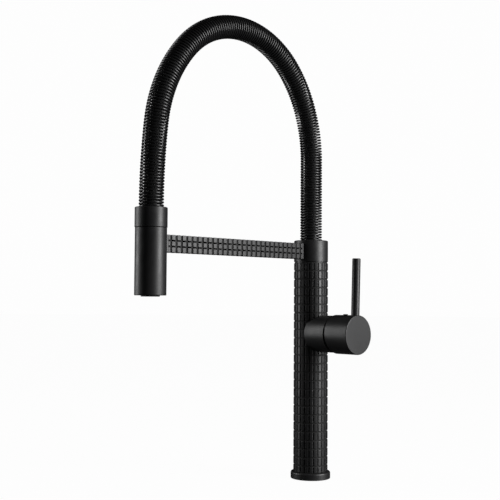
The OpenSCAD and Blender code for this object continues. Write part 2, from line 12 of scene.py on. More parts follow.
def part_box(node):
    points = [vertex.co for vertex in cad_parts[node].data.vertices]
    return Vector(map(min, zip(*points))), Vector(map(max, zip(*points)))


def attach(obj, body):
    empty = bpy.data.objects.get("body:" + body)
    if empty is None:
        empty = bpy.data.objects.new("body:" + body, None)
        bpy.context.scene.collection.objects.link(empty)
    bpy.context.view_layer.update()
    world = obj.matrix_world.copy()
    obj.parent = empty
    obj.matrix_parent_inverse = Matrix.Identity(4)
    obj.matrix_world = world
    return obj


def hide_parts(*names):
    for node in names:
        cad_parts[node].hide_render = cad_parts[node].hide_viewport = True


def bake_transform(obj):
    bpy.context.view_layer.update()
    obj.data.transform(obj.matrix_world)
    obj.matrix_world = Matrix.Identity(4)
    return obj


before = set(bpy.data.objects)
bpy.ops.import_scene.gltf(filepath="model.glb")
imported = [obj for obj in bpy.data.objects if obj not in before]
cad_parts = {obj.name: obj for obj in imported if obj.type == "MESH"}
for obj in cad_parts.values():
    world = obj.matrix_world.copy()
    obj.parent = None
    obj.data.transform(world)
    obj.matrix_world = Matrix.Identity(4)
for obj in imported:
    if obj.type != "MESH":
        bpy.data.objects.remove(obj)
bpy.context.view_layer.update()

bl_info = {
    "name": "Pull Down Kitchen Faucet",
    "version": (1, 0, 0),
    "blender": (4, 5, 0),
    "location": "3D View > Sidebar > Faucet",
    "description": "Studded column, sprung hose arch and docked spray head around a packed frame",
    "category": "Add Mesh",
}

MM = 0.001
SHARP_ANGLE = math.radians(20)
GUARD = 0.06 * MM  # keeps a rounded edge's shading off the flat beside it


# ---- Places that come from the frame ----

def span(node, axis):
    """Lowest and highest coordinate of a frame node along X, Y or Z (0, 1, 2)."""
    low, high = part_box(node)
    return low[axis], high[axis]


def middle(node, axis):
    return sum(span(node, axis)) / 2


def half_width(node, axis):
    low, high = span(node, axis)
    return (high - low) / 2


COLUMN_R = half_width("column_tube", 0)
COLUMN_LOW, COLUMN_TOP = span("column_tube", 2)
REACH = -middle("head_shell", 1)
VALVE_Z = middle("valve_housing", 2)
SPRING_R = half_width("spring", 0)
CROWN_Z = span("spring", 2)[1] - SPRING_R
COLLAR_TOP = span("swivel_collar", 2)[1]
HEAD_RING_TOP = span("head_ring", 2)[1]
HEAD_RING_LOW = span("head_ring", 2)[0]
HEAD_STRAIGHT = 2 * MM  # straight run above the head's collar, before the first bend
SPRING_SEAT = 7 * MM
UNION_SHOULDER = HEAD_RING_LOW + 6.5 * MM
FIXING_HOLE_R = 2.52 * MM
MAGNET_HOLE_R = 4.52 * MM
ARM_LOW, ARM_HIGH = span("support_arm", 2)


# ---- Sizes and colours ----

def length(label, note, default):
    return FloatProperty(name=label, description=note, default=default, min=0.0, unit="LENGTH", precision=5)


def colour(label, note, default):
    return FloatVectorProperty(name=label, description=note, default=default, size=3, min=0, max=1,
                               subtype="COLOR")


class FaucetColumnSizes(bpy.types.PropertyGroup):
    pitch: length("Row pitch", "Distance between two rows of studs", 9.8 * MM)
    flutes: IntProperty(name="Flutes", description="Upright grooves round the column", default=24, min=3)
    groove: length("Row groove", "Width of the groove between two rows", 1.5 * MM)
    flute: length("Flute", "Width of an upright groove", 1.5 * MM)
    depth: length("Depth", "Depth of both kinds of groove", 0.7 * MM)
    edge: length("Edge", "Rounding of a stud's edges", 0.34 * MM)
    turn: FloatProperty(name="Turn", description="Angle of the first flute from the X axis",
                        default=math.radians(7.5), subtype="ANGLE")


class FaucetArmSizes(bpy.types.PropertyGroup):
    pitch: length("Pitch", "Distance between studs along the arm", 7.1 * MM)
    groove: length("Cross groove", "Width of the groove between two studs", 2.4 * MM)
    slot: length("Lengthwise groove", "Width of a groove along the arm", 1.5 * MM)
    depth: length("Depth", "Depth of both kinds of groove", 0.85 * MM)
    edge: length("Edge", "Rounding of a stud's edges", 0.3 * MM)
    plain: length("Plain end", "Shortest stretch at each end that carries no studs", 4.5 * MM)


class FaucetSpringSizes(bpy.types.PropertyGroup):
    wire: length("Wire", "Diameter of the spring's wire", 2.45 * MM)
    pitch: length("Pitch", "Distance between two turns", 3.18 * MM)
    steps: IntProperty(name="Steps", description="Points on each turn", default=28, min=8)
    sides: IntProperty(name="Sides", description="Sides of the wire", default=10, min=3)


class FaucetFinish(bpy.types.PropertyGroup):
    coat: colour("Coat", "Matte black powder coat", (0.0125, 0.0125, 0.0132))
    # Darker than the coat: painted shade for the bottom of the grooves
    groove: colour("Groove", "Painted shade at the bottom of the grooves", (0.003, 0.003, 0.003))
    wire: colour("Wire", "Coated spring wire", (0.010, 0.010, 0.0105))
    rubber: colour("Rubber", "Black rubber", (0.012, 0.012, 0.012))
    brass: colour("Brass", "Turned brass", (0.60, 0.42, 0.15))
    copper: colour("Copper", "Drawn copper", (0.62, 0.29, 0.17))
    steel: colour("Steel", "Plain stainless steel", (0.46, 0.46, 0.47))


class FaucetStage(bpy.types.PropertyGroup):
    floor: colour("Floor", "Pale floor", (0.93, 0.93, 0.93))
    lens: FloatProperty(name="Lens", description="Focal length of the camera", default=68.4,
                        subtype="DISTANCE_CAMERA")


# ---- Mesh helpers ----

def rounded(corners, steps=5):
    """A closed outline from (x, y, radius) corners, each rounded by its radius."""
    out = []
    n = len(corners)
    for i, (x, y, radius) in enumerate(corners):
        here = Vector((x, y))
        before = Vector(corners[i - 1][:2]) - here
        after = Vector(corners[(i + 1) % n][:2]) - here
        if radius <= 0:
            out.append(here)
            continue
        bend = before.angle(after)
        reach = radius / math.tan(bend / 2)
        centre = here + (before.normalized() + after.normalized()).normalized() * radius / math.sin(bend / 2)
        first = here + before.normalized() * reach - centre
        turn = math.pi - bend
        side = -1 if before.cross(after) > 0 else 1
        if before.length > 2 * reach + GUARD:
            out.append(here + before.normalized() * (reach + GUARD))
        for k in range(steps + 1):
            out.append(centre + Matrix.Rotation(side * turn * k / steps, 2) @ first)
        if after.length > 2 * reach + GUARD:
            out.append(here + after.normalized() * (reach + GUARD))
    return [(p.x, p.y) for p in out]


def finish_mesh(bm, name, material):
    """Turns a bmesh into a shown object with outward normals, smooth faces and sharp edges kept."""
    bmesh.ops.remove_doubles(bm, verts=bm.verts, dist=1e-7)
    bmesh.ops.dissolve_degenerate(bm, edges=bm.edges, dist=1e-7)
    bmesh.ops.recalc_face_normals(bm, faces=bm.faces)
    mark_sharp(bm)
    mesh = bpy.data.meshes.new(name)
    bm.to_mesh(mesh)
    bm.free()
    mesh.materials.append(material)
    piece = bpy.data.objects.new(name, mesh)
    bpy.context.scene.collection.objects.link(piece)
    return piece


def mark_sharp(bm, sharp_from=SHARP_ANGLE):
    for face in bm.faces:
        face.smooth = True
    for edge in bm.edges:
        edge.smooth = len(edge.link_faces) == 2 and edge.calc_face_angle(0.0) < sharp_from


def lathe(bm, outline, segments=144, place=Matrix.Identity(4), warp=None):
    """Turns a closed (radius, height) outline about +Z, then puts it in place."""
    rings = []
    for k in range(segments):
        a = 2 * math.pi * k / segments
        ring = []
        for r, h in outline:
            point = Vector((r * math.cos(a), r * math.sin(a), h))
            if warp:
                point = warp(point)
            ring.append(bm.verts.new(place @ point))
        rings.append(ring)
    n = len(outline)
    for k in range(segments):
        here, there = rings[k], rings[(k + 1) % segments]
        for i in range(n):
            j = (i + 1) % n
            if outline[i][0] < 1e-9 and outline[j][0] < 1e-9:
                continue
            bm.faces.new((here[i], there[i], there[j], here[j]))
    return bm


def turned(name, outline, material, body, replaced, slot, place=Matrix.Identity(4), cuts=(), warp=None):
    """A turned piece with cylinders cut out of it, which rides on a body in a frame node's place."""
    bm = lathe(bmesh.new(), outline, place=place, warp=warp)
    piece = finish_mesh(bm, name, material)
    cut_away(piece, cuts)
    settle(piece, body, slot, replaced)
    return piece


def settle(piece, body, slot, *replaced):
    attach(piece, body)
    if replaced:
        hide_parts(*replaced)


def cutter(radius, start, end, segments=96):
    """A closed cylinder from start to end, as an object for cutting."""
    start, end = Vector(start), Vector(end)
    turn = Vector((0, 0, 1)).rotation_difference(end - start).to_matrix().to_4x4()
    bm = bmesh.new()
    bmesh.ops.create_cone(bm, cap_ends=True, segments=segments, radius1=radius, radius2=radius,
                          depth=(end - start).length, matrix=Matrix.Translation((start + end) / 2) @ turn)
    mesh = bpy.data.meshes.new("cutter")
    bm.to_mesh(mesh)
    bm.free()
    tool = bpy.data.objects.new("cutter", mesh)
    bpy.context.scene.collection.objects.link(tool)
    return tool


def applied(piece):
    """Replaces a piece's mesh by what its modifiers make of it, and removes them."""
    graph = bpy.context.evaluated_depsgraph_get()
    made = bpy.data.meshes.new_from_object(piece.evaluated_get(graph))
    piece.modifiers.clear()
    old = piece.data
    piece.data = made
    made.name = old.name
    bpy.data.meshes.remove(old)
    return piece


def cut_away(piece, cuts):
    for radius, start, end in cuts:
        tool = cutter(radius, start, end)
        trim = piece.modifiers.new("cut", "BOOLEAN")
        trim.operation = "DIFFERENCE"
        trim.solver = "EXACT"
        trim.object = tool
        applied(piece)
        bpy.data.objects.remove(tool)
    if cuts:
        bm = bmesh.new()
        bm.from_mesh(piece.data)
        mark_sharp(bm)
        bm.to_mesh(piece.data)
        bm.free()


def sweep(bm, path, outline, across):
    """Carries a closed (side, out) outline along a path in one plane, as rings of points; the faces are made
    by the caller.
    across is the direction that stands square to that plane."""
    path = [Vector(p) for p in path]
    across = Vector(across)
    rings = []
    for i, p in enumerate(path):
        along = (path[min(i + 1, len(path) - 1)] - path[max(i - 1, 0)]).normalized()
        outwards = along.cross(across).normalized()
        rings.append([bm.verts.new(p + across * s + outwards * o) for s, o in outline])
    return rings


def circle(radius, sides):
    return [(radius * math.cos(2 * math.pi * k / sides), radius * math.sin(2 * math.pi * k / sides))
            for k in range(sides)]


# ---- The arch's centreline ----

CROWN_Y, CROWN_R, CROWN_HALF = 0.487 * REACH, 0.442 * REACH, math.radians(47)
COLUMN_SHOULDER_R, COLUMN_HAUNCH_R, HEAD_SHOULDER_R = 0.581 * REACH, 0.68 * REACH, 0.644 * REACH


def arch_bends():
    """Radius, first and last angle of each bend, from the column's side to the head's."""
    def run(shoulder):
        return (CROWN_R - shoulder) * math.sin(CROWN_HALF)

    column_angle = math.asin((run(COLUMN_SHOULDER_R) + COLUMN_HAUNCH_R - CROWN_Y)
                             / (COLUMN_HAUNCH_R - COLUMN_SHOULDER_R))
    side = REACH - CROWN_Y - run(HEAD_SHOULDER_R) - HEAD_SHOULDER_R
    drop = (CROWN_Z - HEAD_RING_TOP - HEAD_STRAIGHT - CROWN_R * (1 - math.cos(CROWN_HALF))
            - HEAD_SHOULDER_R * math.cos(CROWN_HALF))
    head_angle = math.pi / 2 - 2 * math.atan2(side, drop)
    head_haunch_r = HEAD_SHOULDER_R + drop / math.cos(head_angle)
    return [(COLUMN_HAUNCH_R, -math.pi / 2, -column_angle), (COLUMN_SHOULDER_R, -column_angle, -CROWN_HALF),
            (CROWN_R, -CROWN_HALF, CROWN_HALF), (HEAD_SHOULDER_R, CROWN_HALF, head_angle),
            (head_haunch_r, head_angle, math.pi / 2)]


def arch_path(z_column, z_head, step=1.0 * MM):
    """Points along the arch: a leg up from the collar, the bends, and a leg down into the head's collar."""
    # Drawn from the origin, then lifted so that the crown is where it belongs
    points = [Vector((0.0, 0.0))]
    for radius, first, last in arch_bends():
        n = max(2, round(radius * (last - first) / step))
        centre = points[-1] - radius * Vector((math.sin(first), math.cos(first)))
        for k in range(1, n + 1):
            a = first + (last - first) * k / n
            points.append(centre + radius * Vector((math.sin(a), math.cos(a))))
    lift = CROWN_Z - max(p.y for p in points)
    bent = [Vector((0, -p.x, p.y + lift)) for p in points]
    up = max(1, int((bent[0].z - z_column) / step))
    down = max(1, int((bent[-1].z - z_head) / step))
    leg_up = [Vector((0, 0, z_column + (bent[0].z - z_column) * k / up)) for k in range(up)]
    leg_down = [Vector((0, -REACH, bent[-1].z + (z_head - bent[-1].z) * (k + 1) / down)) for k in range(down)]
    return leg_up + bent + leg_down


def path_length(points):
    return sum((b - a).length for a, b in zip(points, points[1:]))


# ---- Geometry node trees ----

def new_tree(name, inputs):
    """A geometry tree with a Geometry input, the named inputs, and a Geometry output."""
    tree = bpy.data.node_groups.new(name, "GeometryNodeTree")
    tree.interface.new_socket("Geometry", in_out="INPUT", socket_type="NodeSocketGeometry")
    for label, kind in inputs:
        tree.interface.new_socket(label, in_out="INPUT", socket_type="NodeSocket" + kind)
    tree.interface.new_socket("Geometry", in_out="OUTPUT", socket_type="NodeSocketGeometry")
    return tree, tree.nodes.new("NodeGroupInput"), tree.nodes.new("NodeGroupOutput")


def add(tree, kind, settings=None, **inputs):
    """Adds a node. Settings are its own options, and inputs are values or sockets, by name."""
    node = tree.nodes.new(kind)
    for key, value in (settings or {}).items():
        setattr(node, key, value)
    for key, value in inputs.items():
        socket = node.inputs[int(key[1:])] if key[0] == "_" else node.inputs[key.replace("_", " ")]
        if isinstance(value, bpy.types.NodeSocket):
            tree.links.new(value, socket)
        else:
            socket.default_value = value
    return node


def grown(name, source, tree, values, material, sharp_from=SHARP_ANGLE):
    """Runs a geometry tree on a mesh object and returns the result as a plain mesh object."""
    grower = source.modifiers.new("grow", "NODES")
    grower.node_group = tree
    for item in tree.interface.items_tree:
        if item.in_out == "INPUT" and item.name in values:
            grower[item.identifier] = values[item.name]
    piece = applied(source)
    piece.name = name
    piece.data.name = name
    bm = bmesh.new()
    bm.from_mesh(piece.data)
    mark_sharp(bm, sharp_from)
    bm.to_mesh(piece.data)
    bm.free()
    piece.data.materials.clear()
    piece.data.materials.append(material)
    return piece


def points_object(points, edges=()):
    mesh = bpy.data.meshes.new("points")
    mesh.from_pydata([tuple(p) for p in points], list(edges), [])
    holder = bpy.data.objects.new("points", mesh)
    bpy.context.scene.collection.objects.link(holder)
    return holder


def repeat_tree():
    """Repeats the incoming mesh in a row."""
    tree, given, result = new_tree("Row of copies", [
        ("Copies", "Int"), ("Start", "Vector"), ("Step", "Vector"), ("Material", "Material")])
    row = add(tree, "GeometryNodeMeshLine", {"mode": "OFFSET"}, Count=given.outputs["Copies"],
              Start_Location=given.outputs["Start"], Offset=given.outputs["Step"])
    copies = add(tree, "GeometryNodeInstanceOnPoints", None, Points=row.outputs[0],
                 Instance=given.outputs["Geometry"])
    real = add(tree, "GeometryNodeRealizeInstances", None, Geometry=copies.outputs[0])
    dressed = add(tree, "GeometryNodeSetMaterial", None, Geometry=real.outputs[0],
                  Material=given.outputs["Material"])
    tree.links.new(dressed.outputs[0], result.inputs["Geometry"])
    return tree


def scatter_tree():
    """Puts a small mesh at each point of the incoming mesh."""
    tree, given, result = new_tree("Copies on points", [("Shape", "Object"), ("Material", "Material")])
    shape = add(tree, "GeometryNodeObjectInfo", None, Object=given.outputs["Shape"])
    copies = add(tree, "GeometryNodeInstanceOnPoints", None, Points=given.outputs["Geometry"],
                 Instance=shape.outputs["Geometry"])
    real = add(tree, "GeometryNodeRealizeInstances", None, Geometry=copies.outputs[0])
    dressed = add(tree, "GeometryNodeSetMaterial", None, Geometry=real.outputs[0],
                  Material=given.outputs["Material"])
    tree.links.new(dressed.outputs[0], result.inputs["Geometry"])
    return tree


def coil_tree():
    """Winds a wire round the incoming line, which lies in the plane X = 0."""
    tree, given, result = new_tree("Coil round a line", [
        ("Turns", "Float"), ("Steps", "Int"), ("Coil radius", "Float"), ("Wire radius", "Float"),
        ("Wire sides", "Int"), ("Material", "Material")])
    line = add(tree, "GeometryNodeMeshToCurve", None, Mesh=given.outputs["Geometry"])
    total = add(tree, "ShaderNodeMath", {"operation": "MULTIPLY"}, _0=given.outputs["Turns"],
                _1=given.outputs["Steps"])
    fine = add(tree, "GeometryNodeResampleCurve", None, Curve=line.outputs[0], Count=total.outputs[0])
    index = add(tree, "GeometryNodeInputIndex")
    turns = add(tree, "ShaderNodeMath", {"operation": "DIVIDE"}, _0=index.outputs[0],
                _1=given.outputs["Steps"])
    angle = add(tree, "ShaderNodeMath", {"operation": "MULTIPLY"}, _0=turns.outputs[0], _1=2 * math.pi)
    sine = add(tree, "ShaderNodeMath", {"operation": "SINE"}, _0=angle.outputs[0])
    cosine = add(tree, "ShaderNodeMath", {"operation": "COSINE"}, _0=angle.outputs[0])
    along = add(tree, "GeometryNodeInputTangent")
    side = add(tree, "ShaderNodeVectorMath", {"operation": "CROSS_PRODUCT"}, _0=along.outputs[0],
               _1=(1, 0, 0))
    out_part = add(tree, "ShaderNodeVectorMath", {"operation": "SCALE"}, _0=side.outputs[0],
                   Scale=sine.outputs[0])
    side_part = add(tree, "ShaderNodeCombineXYZ", None, X=cosine.outputs[0])
    both = add(tree, "ShaderNodeVectorMath", {"operation": "ADD"}, _0=out_part.outputs[0],
               _1=side_part.outputs[0])
    offset = add(tree, "ShaderNodeVectorMath", {"operation": "SCALE"}, _0=both.outputs[0],
                 Scale=given.outputs["Coil radius"])
    wound = add(tree, "GeometryNodeSetPosition", None, Geometry=fine.outputs[0], Offset=offset.outputs[0])
    wire = add(tree, "GeometryNodeCurvePrimitiveCircle", None, Resolution=given.outputs["Wire sides"],
               Radius=given.outputs["Wire radius"])
    solid = add(tree, "GeometryNodeCurveToMesh", None, Curve=wound.outputs[0],
                Profile_Curve=wire.outputs[0], Fill_Caps=True)
    real = add(tree, "GeometryNodeRealizeInstances", None, Geometry=solid.outputs[0])
    dressed = add(tree, "GeometryNodeSetMaterial", None, Geometry=real.outputs[0],
                  Material=given.outputs["Material"])
    tree.links.new(dressed.outputs[0], result.inputs["Geometry"])
    return tree


# ---- Shared shader effects ----

def shader_group(name, inputs, outputs):
    group = bpy.data.node_groups.new(name, "ShaderNodeTree")
    for label, kind, value in inputs:
        socket = group.interface.new_socket(label, in_out="INPUT", socket_type="NodeSocket" + kind)
        socket.default_value = value
    for label, kind in outputs:
        group.interface.new_socket(label, in_out="OUTPUT", socket_type="NodeSocket" + kind)
    return group, group.nodes.new("NodeGroupInput"), group.nodes.new("NodeGroupOutput")


def object_place(group):
    return add(group, "ShaderNodeTexCoord").outputs["Object"]


def grain_group():
    """Fine pebbling of a sprayed or moulded surface."""
    group, given, result = shader_group("Grain", [
        ("Scale", "Float", 1400.0), ("Softness", "Float", 0.5)], [("Height", "Float"), ("Mask", "Float")])
    place = object_place(group)
    fine = add(group, "ShaderNodeTexNoise", None, Vector=place, Scale=given.outputs["Scale"], Detail=2.0,
               Roughness=given.outputs["Softness"])
    broad = add(group, "ShaderNodeTexNoise", None, Vector=place, Scale=260.0, Detail=1.0)
    mixed = add(group, "ShaderNodeMath", {"operation": "MULTIPLY_ADD"}, _0=broad.outputs[0], _1=0.4,
                _2=fine.outputs[0])
    group.links.new(mixed.outputs[0], result.inputs["Height"])
    group.links.new(broad.outputs[0], result.inputs["Mask"])
    return group


def handling_group():
    """Faint smudges and wiped patches, as a mask from 0 to 1."""
    group, given, result = shader_group("Handling marks", [
        ("Scale", "Float", 28.0), ("Amount", "Float", 0.5)], [("Mask", "Float")])
    cloud = add(group, "ShaderNodeTexNoise", {"noise_dimensions": "3D"}, Vector=object_place(group),
                Scale=given.outputs["Scale"], Detail=5.0, Roughness=0.62, Distortion=0.8)
    spread = add(group, "ShaderNodeMapRange", None, Value=cloud.outputs[0], From_Min=0.38, From_Max=0.68)
    scaled = add(group, "ShaderNodeMath", {"operation": "MULTIPLY"}, _0=spread.outputs[0],
                 _1=given.outputs["Amount"])
    group.links.new(scaled.outputs[0], result.inputs["Mask"])
    return group


def dust_group():
    """Fine dust that settles on faces turned upwards."""
    group, given, result = shader_group("Dust", [("Amount", "Float", 0.03)], [("Mask", "Float")])
    geometry = add(group, "ShaderNodeNewGeometry")
    facing = add(group, "ShaderNodeSeparateXYZ", None, _0=geometry.outputs["Normal"])
    upward = add(group, "ShaderNodeMapRange", None, Value=facing.outputs["Z"], From_Min=0.35, From_Max=1.0)
    specks = add(group, "ShaderNodeTexNoise", None, Vector=object_place(group), Scale=900.0, Detail=3.0)
    held = add(group, "ShaderNodeMath", {"operation": "MULTIPLY"}, _0=upward.outputs[0], _1=specks.outputs[0])
    scaled = add(group, "ShaderNodeMath", {"operation": "MULTIPLY"}, _0=held.outputs[0],
                 _1=given.outputs["Amount"])
    group.links.new(scaled.outputs[0], result.inputs["Mask"])
    return group


def turning_group():
    """Fine lines that a lathe or a brush leaves, square to one axis."""
    group, given, result = shader_group("Turning lines", [
        ("Stretch", "Vector", (40.0, 40.0, 4000.0))], [("Height", "Float")])
    place = add(group, "ShaderNodeVectorMath", {"operation": "MULTIPLY"}, _0=object_place(group),
                _1=given.outputs["Stretch"])
    lines = add(group, "ShaderNodeTexNoise", None, Vector=place.outputs[0], Scale=1.0, Detail=3.0)
    group.links.new(lines.outputs[0], result.inputs["Height"])
    return group


EFFECTS = {}


def effect(material, name, **inputs):
    makers = {"Grain": grain_group, "Handling marks": handling_group, "Dust": dust_group,
              "Turning lines": turning_group}
    if name not in EFFECTS:
        EFFECTS[name] = makers[name]()
    node = material.node_tree.nodes.new("ShaderNodeGroup")
    node.node_tree = EFFECTS[name]
    for key, value in inputs.items():
        node.inputs[key].default_value = value
    return node


# ---- Finishes ----

def plain_material(name, base, roughness, **sockets):
    """A Principled material, its shader and its tree."""
    material = bpy.data.materials.new(name)
    material.use_nodes = True
    tree = material.node_tree
    shader = tree.nodes["Principled BSDF"]
    shader.inputs["Base Color"].default_value = (*base, 1)
    shader.inputs["Roughness"].default_value = roughness
    for key, value in sockets.items():
        shader.inputs[key.replace("_", " ")].default_value = value
    return material, tree, shader


def bumped(tree, shader, height, strength, distance):
    bump = add(tree, "ShaderNodeBump", None, Strength=strength, Distance=distance, Height=height)
    tree.links.new(bump.outputs[0], shader.inputs["Normal"])


def varied_colour(tree, shader, mask, base, other):
    mix = add(tree, "ShaderNodeMix", {"data_type": "RGBA"}, _0=mask, _6=(*base, 1), _7=(*other, 1))
    tree.links.new(mix.outputs[2], shader.inputs["Base Color"])


def varied_roughness(tree, shader, mask, low, high):
    spread = add(tree, "ShaderNodeMapRange", None, Value=mask, To_Min=low, To_Max=high)
    tree.links.new(spread.outputs[0], shader.inputs["Roughness"])


def powder_coat(name, base, low=0.40, high=0.50):
    material, tree, shader = plain_material(name, base, low, Specular_IOR_Level=0.5)
    grain = effect(material, "Grain", Scale=1500.0)
    marks = effect(material, "Handling marks", Amount=1.0)
    dust = effect(material, "Dust", Amount=0.03)
    varied_roughness(tree, shader, marks.outputs["Mask"], low, high)
    varied_colour(tree, shader, dust.outputs["Mask"], base, (0.35, 0.34, 0.33))
    bumped(tree, shader, grain.outputs["Height"], 0.12, 0.012 * MM)
    return material


def spring_wire(base):
    material, tree, shader = plain_material("Black spring wire", base, 0.3)
    grain = effect(material, "Grain", Scale=2200.0)
    marks = effect(material, "Handling marks", Scale=60.0, Amount=1.0)
    varied_roughness(tree, shader, marks.outputs["Mask"], 0.26, 0.38)
    bumped(tree, shader, grain.outputs["Height"], 0.1, 0.008 * MM)
    return material


def moulded(name, base, low, high, other=None):
    """Rubber or plastic: a fine grain, and a roughness that wanders."""
    material, tree, shader = plain_material(name, base, low)
    grain = effect(material, "Grain", Scale=1900.0)
    marks = effect(material, "Handling marks", Scale=45.0, Amount=1.0)
    varied_roughness(tree, shader, marks.outputs["Mask"], low, high)
    varied_colour(tree, shader, marks.outputs["Mask"], base, other or tuple(min(1, c * 1.25) for c in base))
    bumped(tree, shader, grain.outputs["Height"], 0.2, 0.012 * MM)
    return material


def turned_metal(name, base, stretch, low, high):
    material, tree, shader = plain_material(name, base, low, Metallic=1.0)
    lines = effect(material, "Turning lines", Stretch=stretch)
    marks = effect(material, "Handling marks", Scale=55.0, Amount=1.0)
    varied_roughness(tree, shader, marks.outputs["Mask"], low, high)
    varied_colour(tree, shader, marks.outputs["Mask"], base, tuple(c * 0.72 for c in base))
    bumped(tree, shader, lines.outputs["Height"], 0.25, 0.02 * MM)
    return material


def braided_hose(base):
    """A woven sleeve: two sets of strands that cross, laid along the hose by its UV map."""
    material, tree, shader = plain_material("Braided hose", base, 0.5)
    place = add(tree, "ShaderNodeSeparateXYZ", None, _0=add(tree, "ShaderNodeUVMap").outputs[0])
    strands = []
    for sign in (1, -1):
        turn = add(tree, "ShaderNodeMath", {"operation": "MULTIPLY"}, _0=place.outputs["Y"], _1=24.0 * sign)
        slant = add(tree, "ShaderNodeMath", {"operation": "MULTIPLY_ADD"}, _0=place.outputs["X"], _1=520.0,
                    _2=turn.outputs[0])
        circle_part = add(tree, "ShaderNodeMath", {"operation": "MULTIPLY"}, _0=slant.outputs[0],
                          _1=2 * math.pi)
        strands.append(add(tree, "ShaderNodeMath", {"operation": "SINE"}, _0=circle_part.outputs[0]))
    weave = add(tree, "ShaderNodeMath", {"operation": "MAXIMUM"}, _0=strands[0].outputs[0],
                _1=strands[1].outputs[0])
    level = add(tree, "ShaderNodeMapRange", None, Value=weave.outputs[0], From_Min=-1.0, From_Max=1.0)
    # The hollows between the strands are painted darker, as painted shade; the bump gives the weave its relief
    varied_colour(tree, shader, level.outputs[0], tuple(c * 0.4 for c in base), base)
    bumped(tree, shader, level.outputs[0], 0.6, 0.3 * MM)
    return material


MATERIALS = {}
AXIS_STRETCH = {"z": (60.0, 60.0, 5000.0), "x": (5000.0, 60.0, 60.0), "y": (60.0, 5000.0, 60.0)}

FRAME_FINISHES = {
    "deck_gasket": "rubber", "inlet_block": "brass z", "hot_inlet_tube": "copper", "cold_inlet_tube": "copper",
    "mixed_water_tube": "copper", "valve_core": "brass z", "valve_seat_seals": "rubber",
    "cartridge_body": "grey plastic", "cartridge_nut": "brass x", "swivel_spigot": "brass z",
    "swivel_orings": "rubber", "glide_ring": "black plastic", "cartridge_rotor": "ivory plastic",
    "pivot_pin": "steel y", "cartridge_stem": "steel x", "handle_set_screw": "steel z",
    "collar_set_screw": "steel y", "arm_bolt": "steel y", "dock_magnet": "magnet",
    "hose_nipple": "brass z", "lower_ferrule": "wire", "hose_union": "brass z",
    "head_ferrule": "wire", "union_oring": "rubber", "union_clip": "steel z",
    "dock_steel_insert": "steel y", "head_core": "grey plastic", "check_valve": "ivory plastic",
    "aerator_gasket": "rubber",
}


class FAUCET_OT_finishes(bpy.types.Operator):
    """Make every finish, and give the frame's inner parts theirs"""
    bl_idname = "faucet.finishes"
    bl_label = "Finishes"

    def execute(self, context):
        look = context.scene.faucet_finish
        MATERIALS.update({
            "coat": powder_coat("Matte black coat", look.coat),
            # The groove floors' finish: its darker colour is painted shade, standing in for the shade inside
            # the grooves
            "groove": moulded("Thin coat in the grooves", look.groove, 0.7, 0.8),
            "wire": spring_wire(look.wire),
            "hose": braided_hose(look.rubber),
            "rubber": moulded("Black rubber", look.rubber, 0.55, 0.7),
            "black plastic": moulded("Black plastic", look.coat, 0.34, 0.46),
            "grey plastic": moulded("Grey plastic", (0.14, 0.15, 0.16), 0.42, 0.55),
            "ivory plastic": moulded("Ivory plastic", (0.70, 0.66, 0.56), 0.35, 0.5),
            "copper": turned_metal("Drawn copper", look.copper, (900.0, 900.0, 30.0), 0.22, 0.38),
            "magnet": turned_metal("Nickel magnet", (0.55, 0.54, 0.52), (500.0, 500.0, 500.0), 0.15, 0.3),
        })
        for axis, stretch in AXIS_STRETCH.items():
            MATERIALS["brass " + axis] = turned_metal("Turned brass " + axis, look.brass, stretch, 0.2, 0.36)
            MATERIALS["steel " + axis] = turned_metal("Turned steel " + axis, look.steel, stretch, 0.22, 0.36)
        for node, finish in FRAME_FINISHES.items():
            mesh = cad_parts[node].data
            mesh.materials.clear()
            mesh.materials.append(MATERIALS[finish])
        return {"FINISHED"}


# ---- Base ----

def flange_outline():
    low, high = span("base_flange", 2)
    outer = half_width("base_flange", 0)
    face = COLUMN_LOW
    bore, locating = 15 * MM, 16.98 * MM
    gasket_in, gasket_out, gasket = 17.98 * MM, outer - 1.58 * MM, 2 * MM
    return rounded([
        (bore, low, 0.3 * MM), (gasket_in, low, 0), (gasket_in, low + gasket, 0),
        (gasket_out, low + gasket, 0), (gasket_out, low, 0), (outer, low, 0.5 * MM), (outer, face, 1.9 * MM),
        (locating, face, 0), (locating, high, 0.4 * MM), (bore, high, 0.3 * MM)])


class FAUCET_OT_base_flange(bpy.types.Operator):
    """Make the round flange that the column stands on"""
    bl_idname = "faucet.base_flange"
    bl_label = "Base Flange"

    def execute(self, context):
        turned("base_flange_turned", flange_outline(), MATERIALS["coat"], "base", "base_flange",
               "matte_black_coat")
        return {"FINISHED"}


